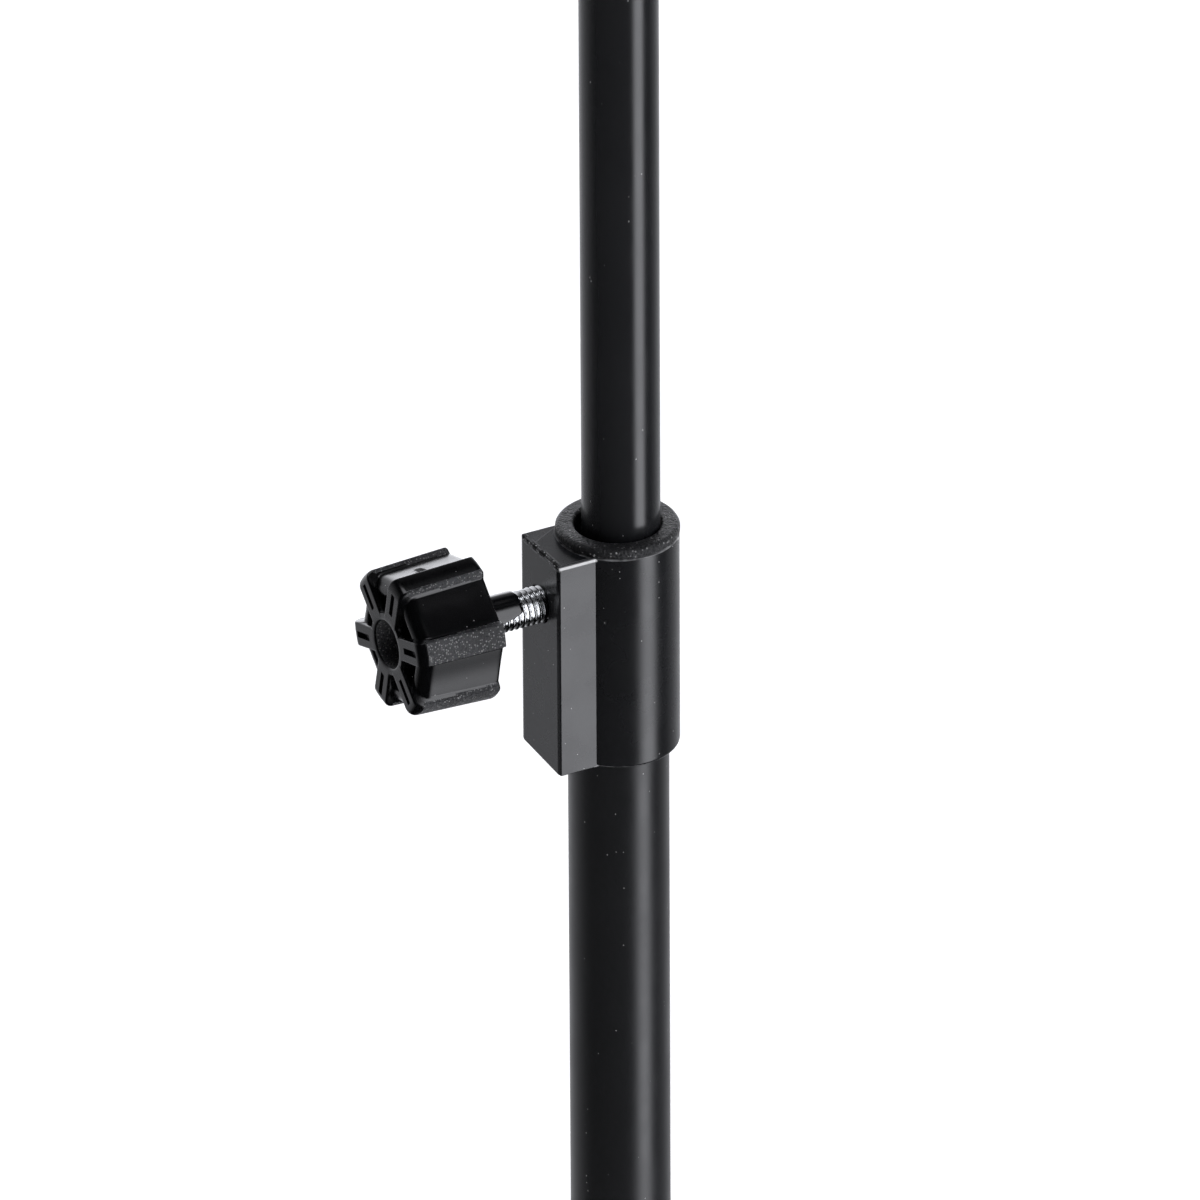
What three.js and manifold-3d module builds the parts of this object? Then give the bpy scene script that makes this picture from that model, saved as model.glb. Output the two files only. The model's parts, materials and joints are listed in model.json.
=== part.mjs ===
// Folding tripod music stand: a screw-clamped telescopic mast carries a tilting sheet-steel desk.
// Millimetres, +Z up. The player stands on the -Y side and looks along +Y.
import * as THREE from "three";
import { mergeVertices } from "three/addons/utils/BufferGeometryUtils.js";
import Module from "manifold-3d";

const wasm = await Module();
wasm.setup();

// ---------------------------------------------------------------- driving dimensions

const gap = 0.3; // space between pieces that touch
const turnGap = 0.4; // space each side of a piece that turns between two others
const eps = 1; // how far a cutting tool runs past the face that it cuts
const fine = 36; // sides of a tube
const coarse = 16; // sides of a pin

const upperTube = { radius: 8.17, wall: 1.0, bottom: 465, length: 565 };
const lowerTube = { wall: 1.0, telescopeGap: 1.38, endInClutch: 25 };
lowerTube.bore = upperTube.radius + lowerTube.telescopeGap;
lowerTube.radius = lowerTube.bore + lowerTube.wall;
const bead = { rise: 1.0, height: 3.0 };
const endCap = { head: 5, stem: 12 };
const glide = { rise: 0.35, head: 6, stem: 15 };

const clutch = { bottom: 570, height: 49.5, wall: 1.95, edge: 0.8 };
clutch.radius = lowerTube.radius + gap + clutch.wall;
const clutchBoss = { width: 16, standOut: 5.9, corner: 1.6, screwHeight: 37 };
const bush = { bore: upperTube.radius + 0.95, flange: 1.8, overhang: 0.1, edge: 1.5 };
const mastOffset = 0.8; // how far the clamp screw pushes the mast off the lower tube's axis

const stud = { radius: 3.95, coreRadius: 3.3, embed: 5.5 };
const screwHole = stud.radius + gap;
const pad = { radius: 3.6, thickness: 2.2 };
const knob = {
  length: 19.5, landRadius: 16.4, fluteRadius: 14.6, lands: 6, firstLand: 16.4,
  landHalfAngle: 9.6, flankAngle: 4, edge: 0.8,
  hubRadius: 6.8, rimRadius: 12.4, ribWidth: 5, recess: 5, eyeRadius: 4.8, eyeFloor: 2,
  neckRadius: 4.2, neckLength: 10.2,
};
const clutchKnobBack = 34.5; // from the lower tube's axis to the back of the knob

const spread = THREE.MathUtils.degToRad(42); // legs to the floor when the stand is open
const legAngles = [90, 210, 330];
const leg = { length: 400, width: 12, wall: 1.5, above: 8, below: 6.5, pastPivot: 8 };
const brace = { length: 125, thickness: 4, width: 12 };
const pivot = { radius: 30, pin: 2.5, head: 5, headThickness: 2, lugRadius: 7 };
const boot = { sole: 6, end: 12, top: 3, side: 3, grip: 34, corner: 3 };
const hub = { wall: 4.5, halfHeight: 13, forkPlate: 2.6, rivet: 2, tubeBelow: 8 };
const legCollar = { wall: 4.3, slide: 0.5, below: 13, above: 34, edge: 1.5 };
const legBoss = { width: 17, standOut: 6, bottom: 4, top: 32, screwHeight: 18 };

const head = { plug: 25, disc: 5, overhang: 1.6, tongue: 12, tongueRadius: 11, hingeRise: 30 };
const lean = THREE.MathUtils.degToRad(17); // the desk leans back from upright
const desk = {
  width: 490, below: 155, above: 175, sheet: 1.2, shelf: 48, lip: 14, bend: 3, corner: 28,
  standOff: 24,
};
const bracket = { width: 64, halfHeight: 35, sheet: 2, earFoot: 18, earRadius: 12 };
const rivet = { radius: 2.2, head: 4, headThickness: 1.5, acrossX: 24, acrossZ: 26 };
const tiltBolt = { radius: 4, head: 8, headThickness: 4.5, intoKnob: 12 };
const washer = { radius: 10, thickness: 1.6 };

// ---------------------------------------------------------------- sizes that follow

const soleHeight = leg.below * Math.cos(spread) + boot.sole;
const legPivotZ = leg.length * Math.sin(spread) + soleHeight;
const bracePivotZ = legPivotZ - 2 * brace.length * Math.sin(spread);
const hubRadius = lowerTube.radius + gap + hub.wall;
const collarBore = lowerTube.radius + legCollar.slide;
const collarRadius = collarBore + legCollar.wall;
const tubeBottom = bracePivotZ - hub.halfHeight - hub.tubeBelow;
const tubeTop = clutch.bottom + lowerTube.endInClutch;
const pinHole = pivot.pin + gap;
const legSlot = leg.width - 2 * leg.wall; // inside width of the leg channel
const mastTop = upperTube.bottom + upperTube.length;
const hingeZ = mastTop + head.hingeRise;
const washerInner = head.tongue / 2 + gap;
const earInner = washerInner + washer.thickness + gap;
const earOuter = earInner + bracket.sheet;
const footReach = pivot.radius + (leg.length + boot.end) * Math.cos(spread)
  + (leg.above + leg.wall + boot.top) * Math.sin(spread);
const footHalfWidth = leg.width / 2 + gap + boot.side;
const rearReach = footReach / 2 + footHalfWidth * Math.cos(Math.PI / 6);
const centreShift = (footReach - rearReach) / 2; // puts the open stand's box on the origin

// ---------------------------------------------------------------- materials

function paint(colour, roughness, metalness) {
  return new THREE.MeshStandardMaterial({ color: colour, roughness, metalness });
}

const blackPaint = () => paint(0x1b1b1d, 0.42, 0.2);
const zinc = () => paint(0xc9ccd0, 0.28, 1);
const blackPlastic = () => paint(0x1f1f20, 0.6, 0);
const greyNylon = () => paint(0x2a2a2b, 0.7, 0);
const rubber = () => paint(0x161616, 0.85, 0);
const brass = () => paint(0xb08d4a, 0.35, 1);

// ---------------------------------------------------------------- solids

const alongX = new THREE.Matrix4().makeBasis(
  new THREE.Vector3(0, 1, 0), new THREE.Vector3(0, 0, 1), new THREE.Vector3(1, 0, 0),
);
const alongY = new THREE.Matrix4().makeBasis(
  new THREE.Vector3(0, 0, 1), new THREE.Vector3(1, 0, 0), new THREE.Vector3(0, 1, 0),
);

function toManifold(geometry) {
  const bare = geometry.clone();
  bare.deleteAttribute("normal");
  bare.deleteAttribute("uv");
  const merged = mergeVertices(bare, 1e-4);
  const index = Array.from(merged.index.array);
  const triangles = [];
  for (let i = 0; i < index.length; i += 3) {
    const [a, b, c] = index.slice(i, i + 3);
    if (a !== b && b !== c && c !== a) triangles.push(a, b, c);
  }
  return new wasm.Manifold(new wasm.Mesh({
    numProp: 3,
    vertProperties: new Float32Array(merged.attributes.position.array),
    triVerts: new Uint32Array(triangles),
  }));
}

function toGeometry(solid) {
  const mesh = solid.getMesh();
  const geometry = new THREE.BufferGeometry();
  geometry.setAttribute("position", new THREE.BufferAttribute(mesh.vertProperties, 3));
  geometry.setIndex(new THREE.BufferAttribute(mesh.triVerts, 1));
  geometry.computeVertexNormals();
  return geometry;
}

// Revolves a closed outline of [radius, height] pairs about Z.
function revolve(outline, sides) {
  const points = outline.map(([radius, height]) => new THREE.Vector2(radius, height));
  const geometry = new THREE.LatheGeometry(points, sides);
  geometry.rotateX(Math.PI / 2);
  return toManifold(geometry);
}

function ring(outer, inner, from, to, sides = fine) {
  return revolve([[inner, from], [outer, from], [outer, to], [inner, to], [inner, from]], sides);
}

function rod(radius, from, to, sides = coarse) {
  return revolve([[0, from], [radius, from], [radius, to], [0, to]], sides);
}

function block(x0, x1, y0, y1, z0, z1) {
  const geometry = new THREE.BoxGeometry(x1 - x0, y1 - y0, z1 - z0);
  geometry.translate((x0 + x1) / 2, (y0 + y1) / 2, (z0 + z1) / 2);
  return toManifold(geometry);
}

function extrude(shape, from, to, curveSegments = 8) {
  const geometry = new THREE.ExtrudeGeometry(shape, {
    depth: to - from, bevelEnabled: false, curveSegments,
  });
  geometry.translate(0, 0, from);
  return toManifold(geometry);
}

function turned(solid, matrix) {
  return toManifold(toGeometry(solid).applyMatrix4(matrix));
}

function turnedAboutZ(solid, degrees) {
  return turned(solid, new THREE.Matrix4().makeRotationZ(THREE.MathUtils.degToRad(degrees)));
}

function roundedRectangle(x0, x1, y0, y1, radius) {
  const shape = new THREE.Shape();
  shape.moveTo(x0 + radius, y0);
  shape.absarc(x1 - radius, y0 + radius, radius, -Math.PI / 2, 0, false);
  shape.absarc(x1 - radius, y1 - radius, radius, 0, Math.PI / 2, false);
  shape.absarc(x0 + radius, y1 - radius, radius, Math.PI / 2, Math.PI, false);
  shape.absarc(x0 + radius, y0 + radius, radius, Math.PI, 1.5 * Math.PI, false);
  return shape;
}

// A tongue in the XZ plane that ends in a half circle round (endX, endZ), centred on Y = 0.
function tongue(startX, endX, radius, thickness, endZ = 0) {
  const outline = new THREE.Shape();
  outline.moveTo(endZ - radius, startX);
  outline.lineTo(endZ - radius, endX);
  outline.absarc(endZ, endX, radius, Math.PI, 0, true);
  outline.lineTo(endZ + radius, startX);
  return turned(extrude(outline, -thickness / 2, thickness / 2), alongY);
}

function crossHole(radius, x, z, halfLength) {
  const hole = turned(rod(radius, -halfLength, halfLength), alongY);
  return turned(hole, new THREE.Matrix4().makeTranslation(x, 0, z));
}

// A pivot pin along Y with a head outside each face; steps are [radius, distance from centre].
function pivotPin(halfGrip, steps = []) {
  const inner = halfGrip + gap;
  const outline = [[pivot.pin, inner], [pivot.head, inner], [pivot.head, inner + pivot.headThickness]];
  const upper = [...steps, ...outline];
  const lower = upper.map(([radius, along]) => [radius, -along]).reverse();
  const ends = upper[upper.length - 1][1];
  return turned(revolve([[0, -ends], ...lower, ...upper, [0, ends]], coarse), alongY);
}

function named(name, solid, material) {
  const mesh = new THREE.Mesh(toGeometry(solid), material);
  mesh.name = name;
  return mesh;
}

// ---------------------------------------------------------------- knob and clamp screw

// Knob outline across its axis: six raised lands with flutes between them.
function knobOutline() {
  const shape = new THREE.Shape();
  const pitch = 360 / knob.lands;
  for (let i = 0; i < knob.lands; i += 1) {
    const middle = knob.firstLand + 90 + i * pitch;
    const [rise, start, end, fall] = [
      middle - knob.landHalfAngle - knob.flankAngle, middle - knob.landHalfAngle,
      middle + knob.landHalfAngle, middle + knob.landHalfAngle + knob.flankAngle,
    ].map(THREE.MathUtils.degToRad);
    const nextRise = rise + THREE.MathUtils.degToRad(pitch);
    shape.absarc(0, 0, knob.landRadius, start, end, false);
    shape.absarc(0, 0, knob.fluteRadius, fall, nextRise, false);
  }
  shape.closePath();
  return shape;
}

// Six valleys in the front face, between the ribs that run from the hub to the rim.
function knobValleys() {
  const front = knob.length - knob.recess;
  let valleys = ring(knob.rimRadius, knob.hubRadius, front, knob.length + eps, fine);
  for (let i = 0; i < knob.lands; i += 1) {
    const angle = knob.firstLand + 90 + (i * 360) / knob.lands;
    const rib = block(0, knob.landRadius, -knob.ribWidth / 2, knob.ribWidth / 2, 0, 2 * knob.length);
    valleys = valleys.subtract(turnedAboutZ(rib, angle));
  }
  return valleys;
}

// Knob along +X from its back face at X = 0. The neck reaches back over the stud.
function knobSolid(neckLength, boreRadius, boreDepth) {
  const geometry = new THREE.ExtrudeGeometry(knobOutline(), {
    depth: knob.length - 2 * knob.edge, curveSegments: 3, bevelEnabled: true,
    bevelThickness: knob.edge, bevelSize: knob.edge, bevelOffset: -knob.edge, bevelSegments: 1,
  });
  geometry.translate(0, 0, knob.edge);
  let solid = toManifold(geometry).subtract(knobValleys());
  solid = solid.subtract(rod(knob.eyeRadius, boreDepth + knob.eyeFloor, knob.length + eps));
  if (neckLength > 0) solid = solid.add(rod(knob.neckRadius, -neckLength, knob.edge));
  solid = solid.subtract(rod(boreRadius, -neckLength - eps, boreDepth));
  return turned(solid, new THREE.Matrix4().makeRotationY(Math.PI / 2));
}

// Pressure pad, stud and knob along +X, clamping the tube whose face is at X = tubeFace.
function clampScrew(prefix, tubeFace, knobBack) {
  const padStart = tubeFace + gap;
  const studStart = padStart + pad.thickness + gap;
  const neckStart = knobBack - knob.neckLength;
  const studEnd = knobBack + stud.embed;
  const padSolid = turned(rod(pad.radius, padStart, padStart + pad.thickness), alongX);
  const studSolid = revolve([
    [0, studStart], [stud.radius, studStart], [stud.radius, neckStart - gap],
    [stud.coreRadius, neckStart - gap], [stud.coreRadius, studEnd], [0, studEnd],
  ], coarse);
  const knobMesh = named(
    `${prefix}_knob`, knobSolid(knob.neckLength, stud.coreRadius + gap, stud.embed + gap),
    blackPlastic(),
  );
  knobMesh.position.x = knobBack;
  return [
    named(`${prefix}_pad`, padSolid, brass()),
    named(`${prefix}_stud`, turned(studSolid, alongX), zinc()),
    knobMesh,
  ];
}

// ---------------------------------------------------------------- mast and clutch

function lowerTubeSolid() {
  const { radius, bore } = lowerTube;
  const beadTop = legPivotZ - legCollar.below - gap;
  const beadBottom = beadTop - bead.height;
  const outline = [
    [bore, tubeBottom], [radius, tubeBottom], [radius, beadBottom],
    [radius + bead.rise, beadBottom + bead.rise], [radius + bead.rise, beadTop],
    [radius, beadTop], [radius, tubeTop], [bore, tubeTop], [bore, tubeBottom],
  ];
  return revolve(outline, fine).subtract(hubRivetHole());
}

function tubeEndCapSolid() {
  const top = tubeBottom - gap;
  return revolve([
    [0, top - endCap.head], [lowerTube.radius, top - endCap.head], [lowerTube.radius, top],
    [lowerTube.bore - gap, top], [lowerTube.bore - gap, top + endCap.stem],
    [0, top + endCap.stem],
  ], fine);
}

// Clutch collar with its rectangular boss towards +X; its bottom is at Z = 0.
function clutchCollarSolid() {
  const { radius, height, edge } = clutch;
  const bossFace = radius + clutchBoss.standOut;
  const half = clutchBoss.width / 2;
  const body = revolve([
    [0, 0], [radius - edge, 0], [radius, edge], [radius, height - edge],
    [radius - edge, height], [0, height],
  ], fine);
  const boss = extrude(
    roundedRectangle(0, bossFace, -half, half, clutchBoss.corner), 0, height, 3,
  );
  const bore = rod(lowerTube.radius + gap, -eps, height + eps, fine);
  const hole = turned(rod(screwHole, 0, bossFace + eps), alongX);
  const lift = new THREE.Matrix4().makeTranslation(0, 0, clutchBoss.screwHeight);
  return body.add(boss).subtract(bore).subtract(turned(hole, lift));
}

// Moulded bush: a flange on top of the collar and a sleeve above the lower tube's end.
function clutchBushSolid() {
  const bottom = lowerTube.endInClutch + gap;
  const seat = clutch.height + gap;
  const top = seat + bush.flange;
  const rim = clutch.radius + bush.overhang;
  const outline = [[bush.bore, bottom], [lowerTube.radius, bottom], [lowerTube.radius, seat]];
  const steps = 4;
  outline.push([rim, seat]);
  for (let i = 0; i <= steps; i += 1) {
    const angle = (i / steps) * (Math.PI / 2);
    outline.push([
      rim - bush.edge * (1 - Math.cos(angle)), top - bush.edge * (1 - Math.sin(angle)),
    ]);
  }
  outline.push([bush.bore + gap, top], [bush.bore, top - gap], [bush.bore, bottom]);
  const hole = turned(rod(screwHole, 0, clutch.radius), alongX);
  const lift = new THREE.Matrix4().makeTranslation(0, 0, clutchBoss.screwHeight);
  return revolve(outline, fine).subtract(turned(hole, lift));
}

function clutchGroup() {
  const group = new THREE.Group();
  const screw = new THREE.Group();
  screw.position.z = clutchBoss.screwHeight;
  screw.add(...clampScrew("clutch", upperTube.radius - mastOffset, clutchKnobBack));
  group.add(named("clutch_collar", clutchCollarSolid(), blackPaint()));
  group.add(named("clutch_bush", clutchBushSolid(), greyNylon()));
  group.add(screw);
  group.position.z = clutch.bottom;
  group.rotation.z = Math.PI; // the knob is on the player's left
  return group;
}

function mastGlideSolid() {
  const radius = upperTube.radius + glide.rise;
  const stem = upperTube.radius - upperTube.wall - gap;
  const top = upperTube.bottom - gap;
  return revolve([
    [0, top - glide.head], [radius, top - glide.head], [radius, top], [stem, top],
    [stem, top + glide.stem], [0, top + glide.stem],
  ], fine);
}

// Head at the top of the mast: a plug in the tube, a disc on its end and a hinge tongue.
function mastHeadSolid() {
  const stem = upperTube.radius - upperTube.wall - gap;
  const discRadius = upperTube.radius + head.overhang;
  const discBottom = mastTop + gap;
  const turnedPart = revolve([
    [0, mastTop - head.plug], [stem, mastTop - head.plug], [stem, discBottom],
    [discRadius, discBottom], [discRadius, discBottom + head.disc],
    [0, discBottom + head.disc],
  ], fine);
  const outline = new THREE.Shape();
  const flat = Math.min(head.tongueRadius, discRadius - gap);
  outline.moveTo(-flat, discBottom + head.disc / 2);
  outline.lineTo(flat, discBottom + head.disc / 2);
  outline.lineTo(head.tongueRadius, hingeZ - head.tongueRadius);
  outline.absarc(0, hingeZ, head.tongueRadius, 0, Math.PI, false);
  outline.lineTo(-head.tongueRadius, hingeZ - head.tongueRadius);
  const blade = turned(extrude(outline, -head.tongue / 2, head.tongue / 2, 16), alongX);
  const bore = turned(rod(tiltBolt.radius + gap, -head.tongue, head.tongue), alongX);
  const lift = new THREE.Matrix4().makeTranslation(0, 0, hingeZ);
  return turnedPart.add(blade).subtract(turned(bore, lift));
}

function mastGroup() {
  const group = new THREE.Group();
  const { radius, wall, bottom } = upperTube;
  group.add(named("mast_glide", mastGlideSolid(), blackPlastic()));
  group.add(named("upper_tube", ring(radius, radius - wall, bottom, mastTop), blackPaint()));
  group.add(named("mast_head", mastHeadSolid(), blackPaint()));
  for (const [side, sign] of [["left", -1], ["right", 1]]) {
    const inner = turned(ring(washer.radius, tiltBolt.radius + gap, washerInner,
      washerInner + washer.thickness, coarse), alongX);
    const mesh = named(`friction_washer_${side}`, inner, greyNylon());
    mesh.position.z = hingeZ;
    mesh.rotation.z = sign > 0 ? 0 : Math.PI;
    group.add(mesh);
  }
  group.position.x = mastOffset;
  return group;
}

// ---------------------------------------------------------------- tripod

function hubRivetHole() {
  const hole = turned(rod(hub.rivet + gap, 0, hubRadius + eps), alongX);
  const place = new THREE.Matrix4().makeRotationZ(-Math.PI / 2);
  place.setPosition(0, 0, bracePivotZ);
  return turned(hole, place);
}

// Blind rivet through the hub and the tube wall, facing the player.
function hubRivetSolid() {
  const start = lowerTube.bore - eps;
  const seat = hubRadius + gap;
  const solid = revolve([
    [0, start], [hub.rivet, start], [hub.rivet, seat], [2 * hub.rivet, seat],
    [hub.rivet, seat + hub.rivet], [0, seat + hub.rivet],
  ], coarse);
  const place = new THREE.Matrix4().makeRotationZ(-Math.PI / 2);
  place.setPosition(0, 0, bracePivotZ);
  return turned(turned(solid, alongX), place);
}

// Fixed lower hub: a ring with three forks that hold the braces.
function braceHubSolid() {
  const slot = brace.thickness / 2 + turnGap;
  const forkWidth = 2 * (slot + hub.forkPlate);
  const slotStart = pivot.radius - brace.width / 2 - 2 * gap - eps;
  let solid = ring(hubRadius, lowerTube.radius + gap, -hub.halfHeight, hub.halfHeight);
  for (const angle of legAngles) {
    const blade = tongue(lowerTube.radius + hub.wall / 2, pivot.radius, pivot.lugRadius, forkWidth)
      .subtract(block(slotStart, footReach, -slot, slot, -hub.halfHeight, hub.halfHeight))
      .subtract(crossHole(pinHole, pivot.radius, 0, forkWidth))
      .subtract(rod(lowerTube.radius + gap, -hub.halfHeight, hub.halfHeight, fine));
    solid = solid.add(turnedAboutZ(blade, angle));
  }
  const lift = new THREE.Matrix4().makeTranslation(0, 0, bracePivotZ);
  return turned(solid, lift).subtract(hubRivetHole());
}

// Sliding upper collar: three lugs for the legs and a boss for the clamp screw towards +X.
function legCollarSolid() {
  const { below, above, edge } = legCollar;
  const lugWidth = legSlot - 2 * turnGap;
  const half = legBoss.width / 2;
  const bossFace = collarRadius + legBoss.standOut;
  let solid = revolve([
    [0, -below], [collarRadius - edge, -below], [collarRadius, edge - below],
    [collarRadius, above - edge], [collarRadius - edge, above], [0, above],
  ], fine);
  for (const angle of legAngles) {
    const lug = tongue(lowerTube.radius, pivot.radius, pivot.lugRadius, lugWidth)
      .subtract(crossHole(pinHole, pivot.radius, 0, legSlot));
    solid = solid.add(turnedAboutZ(lug, angle + 90));
  }
  const boss = extrude(
    roundedRectangle(0, bossFace, -half, half, edge), legBoss.bottom, legBoss.top, 3,
  );
  const hole = turned(rod(screwHole, 0, bossFace + eps), alongX);
  const lift = new THREE.Matrix4().makeTranslation(0, 0, legBoss.screwHeight);
  return solid.add(boss)
    .subtract(rod(collarBore, -below - eps, above + eps, fine))
    .subtract(turned(hole, lift));
}

function legCollarGroup() {
  const group = new THREE.Group();
  const bossFace = collarRadius + legBoss.standOut;
  const screw = new THREE.Group();
  screw.position.z = legBoss.screwHeight;
  screw.add(...clampScrew("leg_clamp", lowerTube.radius, bossFace + knob.neckLength + 4 * gap));
  group.add(named("leg_collar", legCollarSolid(), greyNylon()));
  group.add(screw);
  group.position.z = legPivotZ;
  group.rotation.z = -Math.PI / 2; // the clamp knob faces the player
  return group;
}

// Leg channel along +X from its pivot, open towards -Z.
function legSolid() {
  const half = leg.width / 2;
  const top = leg.above + leg.wall;
  const outer = block(-leg.pastPivot, leg.length, -half, half, -leg.below, top);
  const inner = block(
    -leg.pastPivot - eps, leg.length + eps, -legSlot / 2, legSlot / 2, -leg.below - eps, leg.above,
  );
  return outer.subtract(inner)
    .subtract(crossHole(pinHole, 0, 0, leg.width))
    .subtract(crossHole(pinHole, brace.length, 0, leg.width));
}

// Rubber boot over the leg's end, its sole cut flat on the floor.
function bootSolid() {
  const half = leg.width / 2;
  const top = leg.above + leg.wall;
  const start = leg.length - boot.grip;
  const end = leg.length + boot.end;
  const section = roundedRectangle(
    -footHalfWidth, footHalfWidth, -leg.below - boot.sole, top + boot.top, boot.corner,
  );
  const socket = block(
    start - eps, leg.length + gap, -half - gap, half + gap, -leg.below - gap, top + gap,
  );
  const floor = block(-leg.length, 2 * leg.length, -leg.length, leg.length, -leg.length, 0);
  const toLeg = new THREE.Matrix4().makeRotationY(spread);
  toLeg.setPosition(pivot.radius, 0, legPivotZ);
  return turned(extrude(section, start, end, 4), alongX)
    .subtract(socket)
    .subtract(turned(floor, toLeg.invert()));
}

// Flat brace along +X from its hub pivot to its leg pivot.
function braceSolid() {
  const radius = brace.width / 2;
  const outline = new THREE.Shape();
  outline.absarc(0, 0, radius, Math.PI, 2 * Math.PI, false);
  outline.absarc(0, brace.length, radius, 0, Math.PI, false);
  return turned(extrude(outline, -brace.thickness / 2, brace.thickness / 2), alongY)
    .subtract(crossHole(pinHole, 0, 0, brace.thickness))
    .subtract(crossHole(pinHole, brace.length, 0, brace.thickness));
}

function legGroup(number, angle) {
  const group = new THREE.Group();
  const slot = brace.thickness / 2 + turnGap;
  const shoulder = [
    [pivot.pin, brace.thickness / 2 + gap], [(pivot.pin + pivot.head) / 2, brace.thickness / 2 + gap],
    [(pivot.pin + pivot.head) / 2, legSlot / 2 - gap], [pivot.pin, legSlot / 2 - gap],
  ];
  const legFrame = new THREE.Group();
  legFrame.position.set(pivot.radius, 0, legPivotZ);
  legFrame.rotation.y = spread;
  const bracePin = named(`brace_pin_${number}`, pivotPin(leg.width / 2, shoulder), zinc());
  bracePin.position.x = brace.length;
  legFrame.add(
    named(`leg_${number}`, legSolid(), blackPaint()),
    named(`foot_${number}`, bootSolid(), rubber()),
    named(`leg_pin_${number}`, pivotPin(leg.width / 2), zinc()),
    bracePin,
  );
  const braceFrame = new THREE.Group();
  braceFrame.position.set(pivot.radius, 0, bracePivotZ);
  braceFrame.rotation.y = -spread;
  braceFrame.add(
    named(`brace_${number}`, braceSolid(), blackPaint()),
    named(`hub_pin_${number}`, pivotPin(slot + hub.forkPlate), zinc()),
  );
  group.add(legFrame, braceFrame);
  group.rotation.z = THREE.MathUtils.degToRad(angle);
  return group;
}

// ---------------------------------------------------------------- desk

// Sheet-steel desk: back plate, shelf and lip bent from one sheet, hinge axis on X.
function deskSolid() {
  const { sheet, bend, width, corner } = desk;
  const back = -desk.standOff;
  const front = back - sheet;
  const lipInner = front - desk.shelf;
  const shelfTop = -desk.below + sheet;
  const bendZ = shelfTop + bend;
  const profile = new THREE.Shape();
  profile.moveTo(back, desk.above);
  profile.lineTo(front, desk.above);
  profile.absarc(front - bend, bendZ, bend, 0, -Math.PI / 2, true);
  profile.absarc(lipInner + bend, bendZ, bend, -Math.PI / 2, -Math.PI, true);
  profile.lineTo(lipInner, shelfTop + desk.lip);
  profile.lineTo(lipInner - sheet, shelfTop + desk.lip);
  profile.absarc(lipInner + bend, bendZ, bend + sheet, -Math.PI, -Math.PI / 2, false);
  profile.absarc(front - bend, bendZ, bend + sheet, -Math.PI / 2, 0, false);
  const sheetSolid = turned(extrude(profile, -width / 2, width / 2, 4), alongX);
  const face = new THREE.Shape();
  face.moveTo(-desk.below - corner, -width / 2);
  face.lineTo(desk.above - corner, -width / 2);
  face.absarc(desk.above - corner, -width / 2 + corner, corner, -Math.PI / 2, 0, false);
  face.absarc(desk.above - corner, width / 2 - corner, corner, 0, Math.PI / 2, false);
  face.lineTo(-desk.below - corner, width / 2);
  const window = turned(extrude(face, -2 * desk.standOff - desk.shelf, 0), alongY);
  return sheetSolid.intersect(window).subtract(deskRivetHoles());
}

function deskRivetPlaces() {
  const places = [];
  for (const x of [-rivet.acrossX, rivet.acrossX]) {
    for (const z of [-rivet.acrossZ, rivet.acrossZ]) places.push([x, z]);
  }
  return places;
}

function deskRivetHoles() {
  const hole = turned(rod(rivet.radius + gap, -2 * desk.standOff, 0), alongY);
  return deskRivetPlaces()
    .map(([x, z]) => turned(hole, new THREE.Matrix4().makeTranslation(x, 0, z)))
    .reduce((all, one) => all.add(one));
}

// Folded bracket behind the desk: a base plate and two ears on the tilt bolt.
function bracketSolid() {
  const start = -desk.standOff + gap;
  const inner = start + bracket.sheet;
  const { width, halfHeight, earFoot, earRadius } = bracket;
  let solid = block(-width / 2, width / 2, start, inner, -halfHeight, halfHeight);
  const outline = new THREE.Shape();
  outline.moveTo(inner - bracket.sheet / 2, -earFoot);
  outline.lineTo(0, -earRadius);
  outline.absarc(0, 0, earRadius, -Math.PI / 2, Math.PI / 2, false);
  outline.lineTo(inner - bracket.sheet / 2, earFoot);
  for (const x of [-earOuter, earInner]) {
    solid = solid.add(turned(extrude(outline, x, x + bracket.sheet), alongX));
  }
  return solid
    .subtract(turned(rod(tiltBolt.radius + gap, -width, width), alongX))
    .subtract(deskRivetHoles());
}

function deskRivetSolid() {
  const frontSeat = -desk.standOff - desk.sheet - gap;
  const backSeat = -desk.standOff + gap + bracket.sheet + gap;
  return turned(revolve([
    [0, frontSeat - rivet.headThickness], [rivet.head, frontSeat - rivet.headThickness / 2],
    [rivet.head, frontSeat], [rivet.radius, frontSeat], [rivet.radius, backSeat],
    [rivet.head, backSeat], [rivet.head, backSeat + rivet.headThickness / 2],
    [0, backSeat + rivet.headThickness],
  ], coarse), alongY);
}

function tiltBoltSolid() {
  const seat = -earOuter - gap;
  const end = earOuter + gap + washer.thickness + gap + tiltBolt.intoKnob;
  return turned(revolve([
    [0, seat - tiltBolt.headThickness], [tiltBolt.head * 0.6, seat - tiltBolt.headThickness * 0.8],
    [tiltBolt.head, seat], [tiltBolt.radius, seat], [tiltBolt.radius, end], [0, end],
  ], coarse), alongX);
}

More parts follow.
